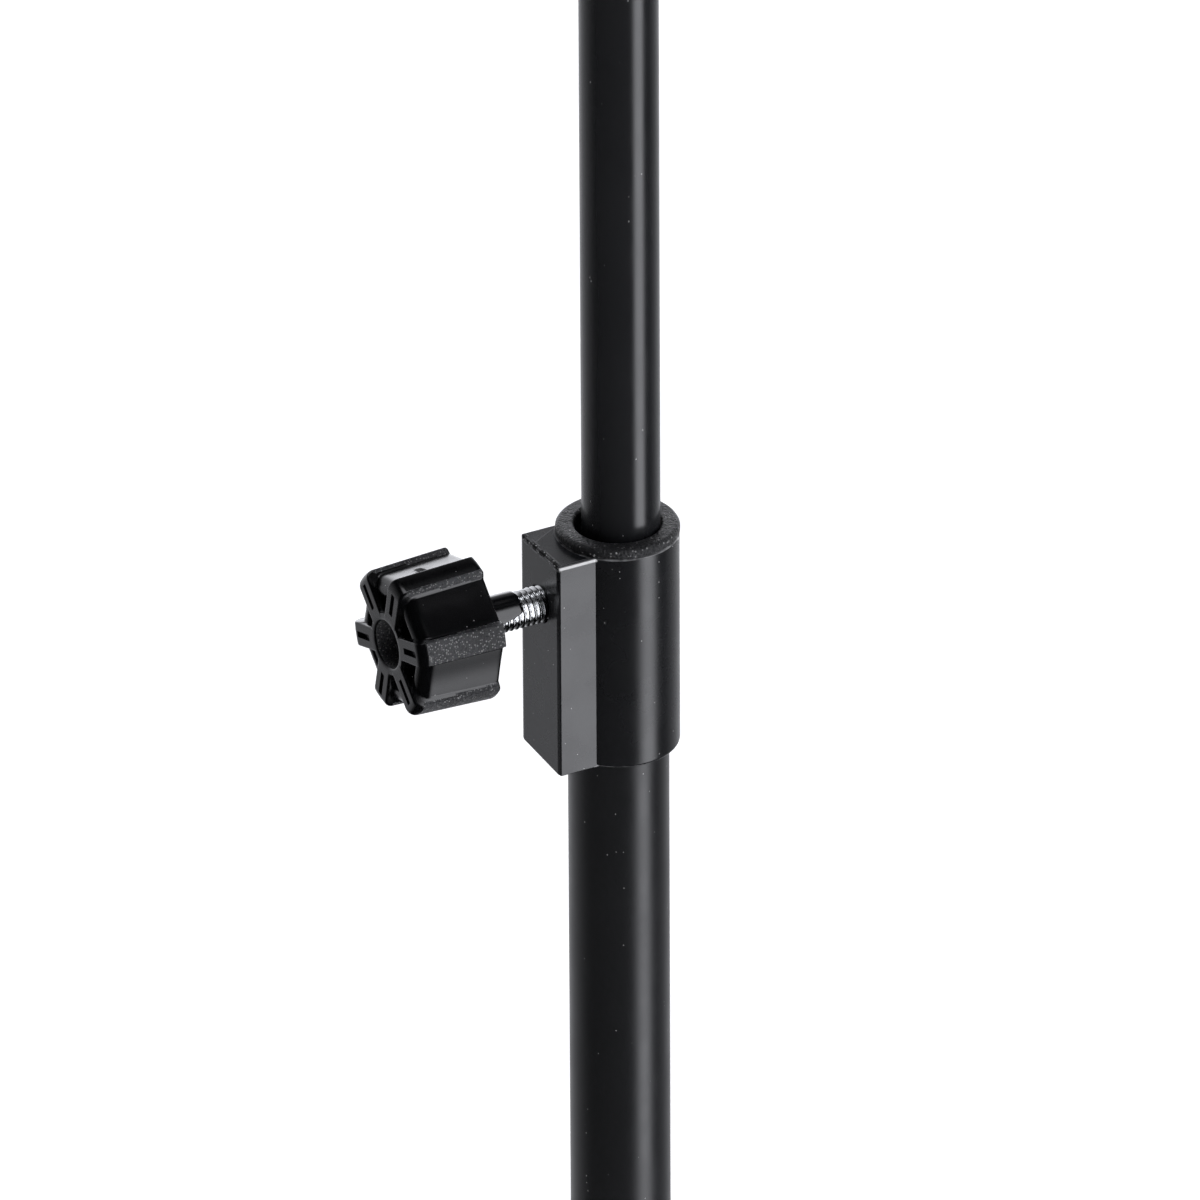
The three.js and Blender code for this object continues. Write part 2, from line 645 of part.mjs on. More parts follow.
function deskGroup() {
  const group = new THREE.Group();
  const bore = tiltBolt.radius + gap;
  const washerStart = earOuter + gap;
  const washerSolid = turned(
    ring(washer.radius, bore, washerStart, washerStart + washer.thickness, coarse), alongX,
  );
  const tiltKnob = named("tilt_knob", knobSolid(0, bore, tiltBolt.intoKnob + gap), blackPlastic());
  tiltKnob.position.x = washerStart + washer.thickness + gap;
  group.add(
    named("desk_plate", deskSolid(), blackPaint()),
    named("desk_bracket", bracketSolid(), blackPaint()),
    named("tilt_bolt", tiltBoltSolid(), zinc()),
    named("tilt_washer", washerSolid, zinc()),
    tiltKnob,
  );
  deskRivetPlaces().forEach(([x, z], i) => {
    const mesh = named(`desk_rivet_${i + 1}`, deskRivetSolid(), zinc());
    mesh.position.set(x, 0, z);
    group.add(mesh);
  });
  group.position.set(mastOffset, 0, hingeZ);
  group.rotation.x = -lean;
  return group;
}

// ---------------------------------------------------------------- the whole stand

const stand = new THREE.Group();
stand.add(
  named("lower_tube", lowerTubeSolid(), blackPaint()),
  named("tube_end_cap", tubeEndCapSolid(), blackPlastic()),
  named("brace_hub", braceHubSolid(), greyNylon()),
  named("hub_rivet", hubRivetSolid(), zinc()),
  legCollarGroup(),
  clutchGroup(),
  mastGroup(),
  deskGroup(),
);
legAngles.forEach((angle, i) => stand.add(legGroup(i + 1, angle)));
stand.position.y = -centreShift;

export default stand;
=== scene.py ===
# Folding music stand, its height clutch seen close up. The frame is in metres; the shapes below
# are written in millimetres in local frames and placed over the CAD nodes that they replace.
import json
import math

import bmesh
import bpy
from mathutils import Matrix, Vector
from mathutils import noise


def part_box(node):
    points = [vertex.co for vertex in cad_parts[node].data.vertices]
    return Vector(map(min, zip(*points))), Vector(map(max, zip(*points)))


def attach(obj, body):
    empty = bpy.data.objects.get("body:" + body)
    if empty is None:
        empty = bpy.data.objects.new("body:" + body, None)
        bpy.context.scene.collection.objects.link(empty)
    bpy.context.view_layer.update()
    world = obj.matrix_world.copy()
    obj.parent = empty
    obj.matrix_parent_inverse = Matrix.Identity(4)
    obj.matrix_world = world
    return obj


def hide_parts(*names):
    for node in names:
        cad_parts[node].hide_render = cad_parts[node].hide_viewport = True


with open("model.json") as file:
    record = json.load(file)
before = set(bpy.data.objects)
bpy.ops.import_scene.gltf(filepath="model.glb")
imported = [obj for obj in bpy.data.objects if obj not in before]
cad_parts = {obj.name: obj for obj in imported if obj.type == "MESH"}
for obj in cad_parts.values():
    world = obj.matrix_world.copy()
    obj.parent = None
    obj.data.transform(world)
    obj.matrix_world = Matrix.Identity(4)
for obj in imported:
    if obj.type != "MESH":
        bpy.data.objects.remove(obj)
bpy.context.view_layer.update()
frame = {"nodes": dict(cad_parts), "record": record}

MM = 0.001
RECORD = frame["record"]
BODY_OF = {node: body for body, nodes in RECORD["behaviour"]["bodies"].items() for node in nodes}
SLOT_OF = {entry["node"]: entry["material_slot"] for entry in RECORD["subparts"]}


def middle(node):
    """Centre of a CAD node's box, in millimetres."""
    low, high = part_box(node)
    return (low + high) / 2 / MM


def span(node):
    low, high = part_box(node)
    return low / MM, high / MM


# ---------------------------------------------------------------- mesh helpers


def rounded(corners, closed=True, steps=4):
    """Corner points (x, y, radius) as an outline whose corners are arcs."""
    points = []
    count = len(corners)
    for i, (x, y, radius) in enumerate(corners):
        at_end = not closed and i in (0, count - 1)
        if radius <= 0 or at_end:
            points.append((x, y))
            continue
        corner = Vector((x, y))
        to_last = Vector(corners[i - 1][:2]) - corner
        to_next = Vector(corners[(i + 1) % count][:2]) - corner
        room = 0.49 * min(to_last.length, to_next.length)
        to_last.normalize()
        to_next.normalize()
        half = to_last.angle(to_next) / 2
        reach = min(radius / math.tan(half), room)
        arc = reach * math.tan(half)
        centre = corner + (to_last + to_next).normalized() * (arc / math.sin(half))
        start = corner + to_last * reach - centre
        end = corner + to_next * reach - centre
        turn = math.atan2(start.x * end.y - start.y * end.x, start.dot(end))
        for k in range(steps + 1):
            angle = turn * k / steps
            points.append((
                centre.x + start.x * math.cos(angle) - start.y * math.sin(angle),
                centre.y + start.x * math.sin(angle) + start.y * math.cos(angle),
            ))
    return points


def raw_object(name, verts, faces, place):
    mesh = bpy.data.meshes.new(name)
    mesh.from_pydata([(place @ Vector(v)) * MM for v in verts], [], faces)
    shaped = bmesh.new()
    shaped.from_mesh(mesh)
    bmesh.ops.remove_doubles(shaped, verts=shaped.verts, dist=1e-7)
    bmesh.ops.recalc_face_normals(shaped, faces=shaped.faces)
    shaped.to_mesh(mesh)
    shaped.free()
    obj = bpy.data.objects.new(name, mesh)
    bpy.context.scene.collection.objects.link(obj)
    return obj


def grid_object(name, rows, place, ring=False):
    """Rows of points, each a closed loop or a single pole point, joined by quads."""
    verts, starts = [], []
    for row in rows:
        starts.append(len(verts))
        verts.extend(row)
    faces = []
    pairs = list(zip(range(len(rows) - 1), range(1, len(rows))))
    if ring:
        pairs.append((len(rows) - 1, 0))
    for a, b in pairs:
        sa, sb, na, nb = starts[a], starts[b], len(rows[a]), len(rows[b])
        for i in range(max(na, nb)):
            j = (i + 1) % max(na, nb)
            if na == 1:
                faces.append((sa, sb + i, sb + j))
            elif nb == 1:
                faces.append((sa + i, sa + j, sb))
            else:
                faces.append((sa + i, sa + j, sb + j, sb + i))
    return raw_object(name, verts, faces, place)


def lathe(name, profile, place, sides=96, ring=False, ripple=None):
    """Turns a profile of (radius, height) about local Z; ripple adds to the radius."""
    rows = []
    for radius, height in profile:
        if radius < 1e-6:
            rows.append([(0, 0, height)])
            continue
        row = []
        for i in range(sides):
            angle = 2 * math.pi * i / sides
            r = radius + (ripple(angle, radius, height) if ripple else 0)
            row.append((r * math.cos(angle), r * math.sin(angle), height))
        rows.append(row)
    return grid_object(name, rows, place, ring)


def prism(name, outline, low, high, place):
    """Extrudes a closed outline along local Z."""
    count = len(outline)
    verts = [(x, y, low) for x, y in outline] + [(x, y, high) for x, y in outline]
    faces = [tuple(range(count)), tuple(range(2 * count - 1, count - 1, -1))]
    for i in range(count):
        j = (i + 1) % count
        faces.append((i, j, count + j, count + i))
    return raw_object(name, verts, faces, place)


def apply_modifiers(obj):
    graph = bpy.context.evaluated_depsgraph_get()
    graph.update()
    made = bpy.data.meshes.new_from_object(obj.evaluated_get(graph))
    obj.modifiers.clear()
    old = obj.data
    obj.data = made
    bpy.data.meshes.remove(old)
    return obj


def combine(obj, other, operation):
    """Exact boolean of obj with other, which is used up."""
    step = obj.modifiers.new("boolean", "BOOLEAN")
    step.operation = operation
    step.solver = "EXACT"
    step.object = other
    apply_modifiers(obj)
    bpy.data.objects.remove(other, do_unlink=True)
    return obj


def soften(obj, width, segments=3, limit=40.0):
    """Rounds the edges sharper than limit degrees."""
    step = obj.modifiers.new("soft edges", "BEVEL")
    step.width = width * MM
    step.segments = segments
    step.limit_method = "ANGLE"
    step.angle_limit = math.radians(limit)
    step.use_clamp_overlap = True
    step.miter_outer = "MITER_ARC"
    return apply_modifiers(obj)


def smooth(obj, angle=38.0, weighted=True):
    mesh = obj.data
    mesh.shade_smooth()
    mesh.set_sharp_from_angle(angle=math.radians(angle))
    if weighted:
        step = obj.modifiers.new("normals", "WEIGHTED_NORMAL")
        step.keep_sharp = True
        apply_modifiers(obj)
    return obj


def rod_z(radius, low, high, place, sides=64):
    return lathe("cutter", [(0, low), (radius, low), (radius, high), (0, high)], place, sides)


# ---------------------------------------------------------------- materials


def value(tree, operation, a, b=None, c=None):
    node = tree.nodes.new("ShaderNodeMath")
    node.operation = operation
    for socket, given in zip(node.inputs, (a, b, c)):
        if given is None:
            continue
        if isinstance(given, (int, float)):
            socket.default_value = given
        else:
            tree.links.new(given, socket)
    return node.outputs[0]


def noise_node(tree, where, scale, detail=3.0, rough=0.55, stretch=None):
    if stretch:
        mapping = tree.nodes.new("ShaderNodeMapping")
        mapping.inputs["Scale"].default_value = stretch
        tree.links.new(where, mapping.inputs["Vector"])
        where = mapping.outputs[0]
    node = tree.nodes.new("ShaderNodeTexNoise")
    node.inputs["Scale"].default_value = scale
    node.inputs["Detail"].default_value = detail
    node.inputs["Roughness"].default_value = rough
    tree.links.new(where, node.inputs["Vector"])
    return node.outputs["Fac"]


def cells(tree, where, scale):
    node = tree.nodes.new("ShaderNodeTexVoronoi")
    node.inputs["Scale"].default_value = scale
    tree.links.new(where, node.inputs["Vector"])
    return node.outputs["Distance"], node.outputs["Color"]


def ramp(tree, source, low, high, first=0.0, last=1.0):
    node = tree.nodes.new("ShaderNodeMapRange")
    node.interpolation_type = "SMOOTHSTEP"
    for name, given in (("From Min", low), ("From Max", high), ("To Min", first), ("To Max", last)):
        node.inputs[name].default_value = given
    tree.links.new(source, node.inputs["Value"])
    return node.outputs[0]


def mix_colour(tree, factor, a, b):
    node = tree.nodes.new("ShaderNodeMix")
    node.data_type = "RGBA"
    for socket, given in ((node.inputs[0], factor), (node.inputs[6], a), (node.inputs[7], b)):
        if isinstance(given, (tuple, list)):
            socket.default_value = (*given[:3], 1)
        elif isinstance(given, (int, float)):
            socket.default_value = given
        else:
            tree.links.new(given, socket)
    return node.outputs[2]


def bump(tree, shader, height, distance, strength=1.0):
    node = tree.nodes.new("ShaderNodeBump")
    node.inputs["Strength"].default_value = strength
    node.inputs["Distance"].default_value = distance
    tree.links.new(height, node.inputs["Height"])
    tree.links.new(node.outputs[0], shader.inputs["Normal"])


def new_material(name, **constants):
    material = bpy.data.materials.new(name)
    material.use_nodes = True
    tree = material.node_tree
    shader = tree.nodes["Principled BSDF"]
    for key, given in constants.items():
        shader.inputs[key.replace("_", " ")].default_value = given
    where = tree.nodes.new("ShaderNodeTexCoord").outputs["Object"]
    return material, tree, shader, where


def specks(tree, where, scale, share, size):
    """Sparse round dots: 1 on a dot, 0 elsewhere."""
    distance, colour = cells(tree, where, scale)
    split = tree.nodes.new("ShaderNodeSeparateColor")
    tree.links.new(colour, split.inputs[0])
    chosen = value(tree, "LESS_THAN", split.outputs[0], share)
    near = ramp(tree, distance, size, 0.4 * size)
    return value(tree, "MULTIPLY", chosen, near)


def scratches(tree, where, share):
    """Short fine streaks along and across the tube."""
    along = noise_node(tree, where, 1.0, 1.0, 0.5, (2600, 2600, 55))
    across = noise_node(tree, where, 1.0, 1.0, 0.5, (160, 160, 3800))
    patch = noise_node(tree, where, 70.0, 2.0)
    hit = value(tree, "MAXIMUM", ramp(tree, along, 0.78, 0.84), ramp(tree, across, 0.77, 0.83))
    return value(tree, "MULTIPLY", hit, ramp(tree, patch, 1 - share, 1.08 - share))


def paint(name, base, roughness, peel, speck_share, scratch_share, wear_with_painted_light=None):
    """Black stoving enamel: orange peel, dust specks, faint scratches and, where given, worn edges with
    painted highlights and a painted reflection.
    """
    material, tree, shader, where = new_material(name, IOR=1.5)
    cloud = noise_node(tree, where, 34.0, 4.0)
    tone = mix_colour(tree, cloud, [0.8 * c for c in base], [1.2 * c for c in base])
    dust = specks(tree, where, 700.0, speck_share, 0.11)
    tone = mix_colour(tree, value(tree, "MULTIPLY", dust, 0.7), tone, (0.6, 0.6, 0.6))
    lines = scratches(tree, where, scratch_share)
    tone = mix_colour(tree, value(tree, "MULTIPLY", lines, 0.10), tone, (0.35, 0.35, 0.35))
    rough = ramp(tree, noise_node(tree, where, 90.0, 4.0), 0.3, 0.7, roughness - 0.025,
                 roughness + 0.035)
    rough = value(tree, "ADD", rough, value(tree, "MULTIPLY", lines, 0.12))
    if wear_with_painted_light:
        # the given mask and colour hold chips and worn paint, and also painted highlights and a painted
        # reflection
        recoloured, wear_and_highlight_colour = wear_with_painted_light(tree, where)
        tone = mix_colour(tree, recoloured, tone, wear_and_highlight_colour)
        rough = value(tree, "ADD", rough, value(tree, "MULTIPLY", recoloured, 0.1))
        shine = value(tree, "MULTIPLY_ADD", recoloured, -0.42, 0.5)
        tree.links.new(shine, shader.inputs["Specular IOR Level"])
    tree.links.new(tone, shader.inputs["Base Color"])
    tree.links.new(rough, shader.inputs["Roughness"])
    fine = noise_node(tree, where, 1900.0, 3.0, 0.6)
    coarse = noise_node(tree, where, 420.0, 2.0)
    height = value(tree, "ADD", value(tree, "MULTIPLY", fine, 0.6), coarse)
    bump(tree, shader, height, peel)
    return material


def plastic(name, base, roughness, grain_scale, grain_depth, mottled, speck_share):
    """Moulded plastic with a spark-eroded grain and pale specks."""
    material, tree, shader, where = new_material(name, IOR=1.48)
    cloud = noise_node(tree, where, 120.0, 3.0)
    dark, light = [(1 - mottled) * c for c in base], [(1 + mottled) * c for c in base]
    tone = mix_colour(tree, cloud, dark, light)
    dust = specks(tree, where, grain_scale, speck_share, 0.5)
    tone = mix_colour(tree, value(tree, "MULTIPLY", dust, 0.75), tone, (0.35, 0.35, 0.35))
    tree.links.new(tone, shader.inputs["Base Color"])
    rough = ramp(tree, noise_node(tree, where, 240.0, 3.0), 0.3, 0.7, roughness - 0.015,
                 roughness + 0.015)
    tree.links.new(rough, shader.inputs["Roughness"])
    grain = noise_node(tree, where, grain_scale, 3.0, 0.65)
    pits, _ = cells(tree, where, grain_scale * 0.8)
    bump(tree, shader, value(tree, "ADD", grain, value(tree, "MULTIPLY", pits, 0.6)), grain_depth)
    return material


def metal(name, base, roughness, axis_stretch, depth):
    """Metal with a clouded surface and fine marks, drawn out as axis_stretch says."""
    material, tree, shader, where = new_material(name, Metallic=1.0, IOR=2.0)
    cloud = noise_node(tree, where, 260.0, 4.0)
    tone = mix_colour(tree, cloud, [0.72 * c for c in base], [min(1.0, 1.1 * c) for c in base])
    tree.links.new(tone, shader.inputs["Base Color"])
    marks = noise_node(tree, where, 1.0, 3.0, 0.6, axis_stretch)
    rough = ramp(tree, marks, 0.25, 0.75, roughness - 0.07, roughness + 0.1)
    tree.links.new(rough, shader.inputs["Roughness"])
    bump(tree, shader, marks, depth)
    return material


def rubber_material():
    material, tree, shader, where = new_material("rubber", IOR=1.5)
    bloom = noise_node(tree, where, 80.0, 5.0, 0.65)
    tone = mix_colour(tree, ramp(tree, bloom, 0.45, 0.8), (0.009, 0.009, 0.009), (0.03, 0.029, 0.028))
    tree.links.new(tone, shader.inputs["Base Color"])
    rough = ramp(tree, bloom, 0.2, 0.8, 0.55, 0.8)
    tree.links.new(rough, shader.inputs["Roughness"])
    bump(tree, shader, noise_node(tree, where, 1500.0, 4.0, 0.6), 0.00005)
    return material


# ---------------------------------------------------------------- local frames, in millimetres

stand_axis = middle("lower_tube")
mast_axis = middle("upper_tube")
collar_low = span("clutch_collar")[0]
CLUTCH = (Matrix.Translation((stand_axis.x, stand_axis.y, collar_low.z))
          @ Matrix.Rotation(math.pi, 4, "Z"))
STAND = Matrix.Translation((stand_axis.x, stand_axis.y, 0))
MAST = Matrix.Translation((mast_axis.x, stand_axis.y, 0))
ALONG_X = Matrix(((0, 0, 1, 0), (1, 0, 0, 0), (0, 1, 0, 0), (0, 0, 0, 1)))


def near_line(tree, first, first_at, second, second_at, reach):
    """1 close to the line where two coordinates have these values, fading out at reach."""
    a = value(tree, "SUBTRACT", first, first_at)
    b = value(tree, "SUBTRACT", second, second_at)
    gone = value(tree, "SQRT", value(tree, "ADD", value(tree, "MULTIPLY", a, a),
                                     value(tree, "MULTIPLY", b, b)))
    return ramp(tree, gone, reach, 0.45 * reach)


def collar_wear_and_painted_light(tree, where):
    """Where the clutch collar's paint is chipped and worn thin, where highlights and a reflection are
    painted on it, and the colour it has there.
    """
    axes = tree.nodes.new("ShaderNodeSeparateXYZ")
    tree.links.new(where, axes.inputs[0])
    x, y, z = axes.outputs
    top = (collar_low.z + BOSS_TOP) * MM
    face = (stand_axis.x - BOSS_FACE) * MM
    side = (stand_axis.y - BOSS_HALF) * MM
    # dark chips and pale dots along the boss's top edges, and a painted highlight along the side face's
    # top edge
    front_edge = near_line(tree, x, face, z, top, 0.0014)
    ragged = noise_node(tree, where, 560.0, 3.0, 0.7)
    recoloured = value(tree, "MULTIPLY", front_edge, ramp(tree, ragged, 0.46, 0.50))
    seam = value(tree, "MAXIMUM", near_line(tree, x, face + 0.0002, z, top, 0.0005),
                 near_line(tree, y, side + 0.00045, z, top, 0.00045))
    recoloured = value(tree, "MAXIMUM", recoloured, value(tree, "MULTIPLY", seam, 0.85))
    pale_dots_and_highlight = value(tree, "MULTIPLY", front_edge, specks(tree, where, 1500.0, 0.55, 0.30))
    # painted highlight: a pale line on the side face just under its top edge, where the bevel would
    # catch the light
    pale_dots_and_highlight = value(tree, "MAXIMUM", pale_dots_and_highlight, near_line(tree, y, side, z, top - 0.0005, 0.00045))
    # painted highlight along the collar's top rim, and paint worn thin round its foot
    from_axis_x = value(tree, "SUBTRACT", x, stand_axis.x * MM)
    from_axis_y = value(tree, "SUBTRACT", y, stand_axis.y * MM)
    squares = [value(tree, "MULTIPLY", part, part) for part in (from_axis_x, from_axis_y)]
    radius = value(tree, "SQRT", value(tree, "ADD", *squares))
    # painted highlight: a pale hairline along the collar's top rim
    rim = near_line(tree, radius, COLLAR_RADIUS * MM, z, (collar_low.z + COLLAR_HEIGHT) * MM, 0.0005)
    foot = near_line(tree, radius, COLLAR_RADIUS * MM, z, collar_low.z * MM, 0.0006)
    rim_highlight_and_foot_wear = value(tree, "MAXIMUM", rim, foot)
    uneven = ramp(tree, noise_node(tree, where, 260.0, 2.0), 0.35, 0.6, 0.25, 1.0)
    rim_highlight_and_foot_wear = value(tree, "MULTIPLY", value(tree, "MULTIPLY", rim_highlight_and_foot_wear, uneven), 0.55)
    wear_and_light_mask = value(tree, "MAXIMUM", value(tree, "MAXIMUM", recoloured, pale_dots_and_highlight), rim_highlight_and_foot_wear)
    # painted reflection: a faint lighter patch on the boss's far top corner, ending at a paler slanting
    # line to the flange
    along_x = value(tree, "MULTIPLY", value(tree, "SUBTRACT", x, face), 489.0)
    along_y = value(tree, "MULTIPLY", value(tree, "SUBTRACT", (stand_axis.y + BOSS_HALF) * MM, y), 872.0)
    past = value(tree, "SUBTRACT", value(tree, "ADD", along_x, along_y), 4.5)
    painted_reflection = value(tree, "MULTIPLY", ramp(tree, past, 0.3, 0.0), ramp(tree, past, -3.4, -0.4, 0.15, 1.0))
    on_top = value(tree, "MULTIPLY", ramp(tree, z, top - 0.0003, top - 0.0001),
                   ramp(tree, radius, 0.0127, 0.0131))
    painted_reflection = value(tree, "MULTIPLY", painted_reflection, on_top)
    # painted reflection: the paler slanting line at the patch's edge
    reflection_edge_line = value(tree, "MULTIPLY", ramp(tree, value(tree, "ABSOLUTE", past), 0.22, 0.05), 0.16)
    reflection_edge_line = value(tree, "MULTIPLY", reflection_edge_line, on_top)
    painted_reflection = value(tree, "ADD", value(tree, "MULTIPLY", painted_reflection, 0.08), reflection_edge_line)
    wear_and_light_mask = value(tree, "MAXIMUM", wear_and_light_mask, painted_reflection)
    # dark colour for chips, pale colour for worn paint, painted highlights and the painted reflection
    wear_and_highlight_colour = mix_colour(tree, recoloured, (0.55, 0.55, 0.56), (0.003, 0.003, 0.003))
    wear_and_highlight_colour = mix_colour(tree, pale_dots_and_highlight, wear_and_highlight_colour, (0.8, 0.8, 0.8))
    return wear_and_light_mask, wear_and_highlight_colour


# ---------------------------------------------------------------- clutch knob and stud

KNOB_LENGTH = 19.5
KNOB_LAND, KNOB_FLUTE, KNOB_HUB = 16.4, 14.6, 7.2  # radii
KNOB_TAPER = 0.8  # how much smaller the radii are at the front
KNOB_FIRST_LAND = 16.4  # degrees
NECK_LENGTH = 10.2
LAND_COLUMNS = [  # distance from the land's centre line, share of the land's height
    (0.0, 1.0), (0.35, 1.0), (0.58, 1.0), (0.68, 1.0), (0.8, 1.0), (1.4, 1.0), (1.9, 1.0),
    (2.2, 1.0), (2.36, 0.985), (2.48, 0.93), (2.57, 0.75), (2.65, 0.42), (2.73, 0.14), (2.84, 0.0),
]
SLOT_HALF_WIDTH = 0.63
VALLEY_COLUMNS = [0.05, 0.14, 0.28, 0.46, 0.64, 0.82, 1.0]
EYE_FLOOR = 8.9


def neck_reach(angle, length):
    """How far the neck's skin runs back over the thread; it is cut slantwise underneath."""
    away = abs((math.degrees(angle) - 90 + 180) % 360 - 180)
    t = min(max((away - 66) / 48, 0), 1)
    full = t * t * (3 - 2 * t)
    ragged = 0.3 * noise.noise(Vector((2.4 * math.cos(angle), 2.4 * math.sin(angle), 3.1)))
    return 0.7 + (length - 0.7) * (1 - full) + ragged


def knob_profiles(neck, bore, bore_depth):
    """Rows of ((radius, x) on a land, (radius, x) in a flute, kind of row)."""
    rows = [((0, bore_depth), (0, bore_depth), "pole")]

    def both(radius, x, kind="plain"):
        rows.append(((radius, x), (radius, x), kind))

    both(bore, bore_depth)
    if neck > 0:
        both(bore, 0, "neck lip")
        both(bore + 0.10, -0.10, "neck lip")
        both(bore + 0.24, 0.06, "neck lip")
        both(bore + 0.30, 0.45, "neck lip")
        for share in (0.75, 0.5, 0.3):
            both(bore + 0.30, share, "neck side")
        both(bore + 0.33, 0.18, "neck side")
        both(bore + 0.55, 0.07, "neck side")
    else:
        both(bore, 0.3)
    both(bore + 1.1, 0)
    both(8.0, 0)
    both(11.5, 0)
    back_edge = ((15.6, 13.9, 0), (16.0, 14.25, 0.07), (16.28, 14.5, 0.3), (16.37, 14.58, 0.7))
    for land_r, flute_r, x in back_edge:
        rows.append(((land_r, x), (flute_r, x), "outside"))
    for x in (1.4, 3, 5, 7, 8.7, 9.0, 9.3, 9.7, 10.1, 10.4, 10.7, 12, 13.6, 15.0):
        taper = KNOB_TAPER * x / KNOB_LENGTH
        rows.append(((KNOB_LAND - taper, x), (KNOB_FLUTE - taper, x), "side"))
    land_round, flute_round, steps = 2.0, 3.0, 8
    for k in range(steps + 1):
        a = math.pi / 2 * k / steps
        rows.append((
            (15.68 - land_round + land_round * math.cos(a), 17.5 + land_round * math.sin(a)),
            (13.97 - flute_round + flute_round * math.cos(a), 15.4 + flute_round * math.sin(a)),
            "side" if k == 0 else "front",
        ))
    front = [
        (13.45, 10.6, 18.36, ""), (13.27, 10.2, 18.2, "slot"), (12.0, 9.65, 17.8, "slot"),
        (10.5, 9.15, 17.2, "slot"), (9.4, 8.65, 16.5, "slot"), (8.15, 8.15, 15.9, "slot"),
        (7.97, 7.75, 15.6, ""), (7.6, 7.45, 15.5, ""), (7.3, 7.2, 15.7, ""), (7.1, 7.05, 16.4, ""),
        (6.95, 6.92, 18.7, ""), (6.8, 6.76, 19.25, ""), (6.5, 6.5, KNOB_LENGTH, ""),
    ]
    for land_r, flute_r, flute_x, kind in front:
        rows.append(((land_r, KNOB_LENGTH), (flute_r, flute_x), kind or "front"))
    eye = max(EYE_FLOOR, bore_depth + 1.5)
    for radius, x in ((5.7, KNOB_LENGTH), (5.35, KNOB_LENGTH - 0.07), (5.12, KNOB_LENGTH - 0.3),
                      (5.03, KNOB_LENGTH - 0.8), (4.9, eye + 0.5), (4.6, eye)):
        both(radius, x)
    rows.append(((0, eye), (0, eye), "pole"))
    return rows


def knob_columns():
    """Sorted (sector angle, centre-line distance or None, valley share, land share)."""
    columns = []
    for i in range(6):
        centre = math.radians(KNOB_FIRST_LAND + 60 * i)
        for sign in (-1, 1):
            for t, share in LAND_COLUMNS:
                if t == 0 and sign < 0:
                    continue
                columns.append((centre, sign, t, 0.0, share))
            for f in VALLEY_COLUMNS:
                if f == 1.0 and sign < 0:
                    continue
                columns.append((centre, sign, LAND_COLUMNS[-1][0], f, 0.0))
    return sorted(columns, key=lambda c: column_angle(c, 15.0))


def column_angle(column, radius):
    centre, sign, t, valley, _ = column
    edge = math.asin(t / max(radius, 7.3))
    return centre + sign * (edge + valley * (math.pi / 6 - edge))


def knob_point(column, row, neck):
    (land_r, land_x), (flute_r, flute_x), kind = row
    centre, sign, t, valley, share = column
    if kind in ("outside", "side") or (kind == "front" and flute_r > KNOB_HUB):
        flat = 14.0 / math.cos(math.radians(20) * (1 - valley))  # flutes are flatter than round
        flute_r = KNOB_HUB + (flute_r - KNOB_HUB) * (flat - KNOB_HUB) / (KNOB_FLUTE - KNOB_HUB)
    radius = flute_r + (land_r - flute_r) * share
    x = flute_x + (land_x - flute_x) * share
    if kind == "slot" and t < SLOT_HALF_WIDTH and valley == 0:
        x = KNOB_LENGTH - 1.1
    angle = column_angle(column, radius)
    if kind == "neck lip":
        x = x - neck_reach(angle, neck)
    if kind == "neck side":
        x = -x * neck_reach(angle, neck)
    radius -= gate_depth(centre, sign, valley, x, kind)
    return Vector((x, radius * math.cos(angle), radius * math.sin(angle)))


def gate_depth(centre, sign, valley, x, kind):
    """Shallow gate mark that the mould leaves in one flute."""
    if kind != "side" or abs(centre - math.radians(KNOB_FIRST_LAND + 60)) > 0.1 or sign < 0:
        return 0.0
    return 0.38 if valley >= 0.6 and 8.9 < x < 10.5 else 0.0


def knob_object(name, place, neck, bore, bore_depth, materials):
    """Knob along local X from its back face; the second material is the grained one."""
    columns = knob_columns()
    rows = knob_profiles(neck, bore, bore_depth)
    points = []
    for row in rows:
        if row[2] == "pole":
            points.append([(row[0][1], 0, 0)])
        else:
            points.append([knob_point(c, row, neck) for c in columns])
    obj = grid_object(name, points, place)
    for material in materials:
        obj.data.materials.append(material)
    inverse = place.inverted()
    for face in obj.data.polygons:
        centre = inverse @ (face.center / MM)
        radius = math.hypot(centre.y, centre.z)
        pitch = math.radians(60)
        off = (math.atan2(centre.z, centre.y) - math.radians(KNOB_FIRST_LAND) + pitch / 2) % pitch
        across = abs(off - pitch / 2) * radius
        on_land = radius > 14.9 and 0.3 < centre.x < 17.6 and across < 2.95
        land = int((math.degrees(math.atan2(centre.z, centre.y)) - KNOB_FIRST_LAND + 30) % 360 // 60)
        if land in (1, 2):  # polished lands, grained only along their lower corner
            on_land = on_land and across > 1.8 and off < pitch / 2
        in_eye = radius < 5.2 and centre.x > 8
        face.material_index = 1 if on_land or in_eye else 0
    return smooth(obj, 42)


